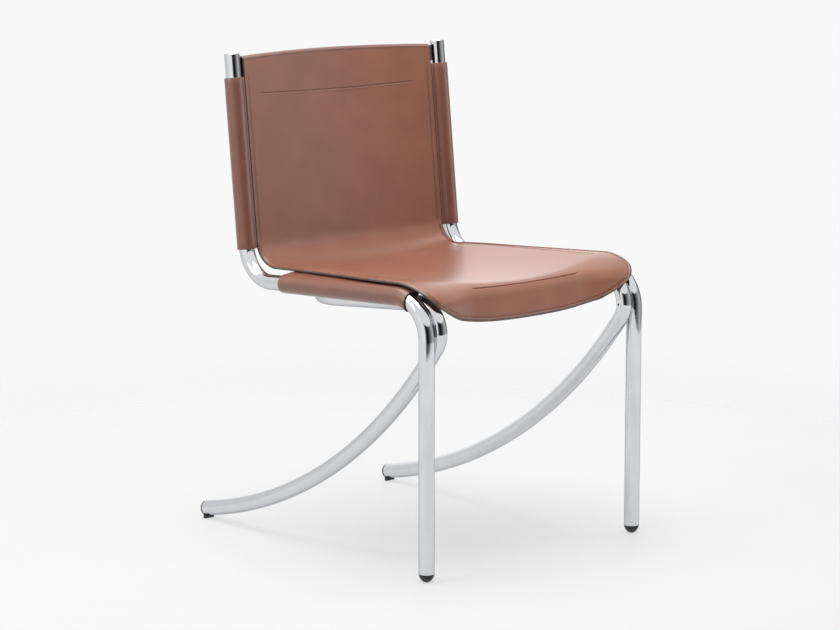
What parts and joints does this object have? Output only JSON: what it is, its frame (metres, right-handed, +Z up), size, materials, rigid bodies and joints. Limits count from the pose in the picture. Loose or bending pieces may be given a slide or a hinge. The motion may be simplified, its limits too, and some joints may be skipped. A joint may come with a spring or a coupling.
{
  "type": "leather sling chair",
  "caption": "Dining chair with a one-piece saddle leather seat and back, sewn to sleeves on bent chrome tube sides, and rear legs that sweep back from the front.",
  "frame": {"origin": "on the floor, under the middle of the chair's width and depth", "axes": "+Z up; the sitter faces -Y; +X to the sitter's left, which is the right-hand side of the chair seen from the front"},
  "size_m": [0.4922, 0.5786, 0.7842],
  "materials": {
    "chrome": "bright polished chrome plating on steel tube",
    "saddle_leather": "smooth brown saddle leather with a soft sheen",
    "leather_back": "smooth brown leather lining",
    "black_plastic": "moulded black plastic, lightly satin"
  },
  "bodies": {
    "root": {"side_tube_left": "chrome", "side_tube_right": "chrome", "rear_leg_loop": "chrome", "back_top_bar": "chrome", "front_rod": "chrome", "post_cap_left": "chrome", "post_cap_right": "chrome", "front_weld_left": "chrome", "front_weld_right": "chrome", "leather_sheet": "saddle_leather", "top_hem": "saddle_leather", "back_sleeve_left": "saddle_leather", "back_sleeve_right": "saddle_leather", "seat_sleeve_left": "saddle_leather", "seat_sleeve_right": "saddle_leather", "leather_lining": "leather_back", "front_hem": "leather_back", "front_foot_left": "black_plastic", "front_foot_right": "black_plastic", "rear_foot_left": "black_plastic", "rear_foot_right": "black_plastic"}
  },
  "joints": []
}
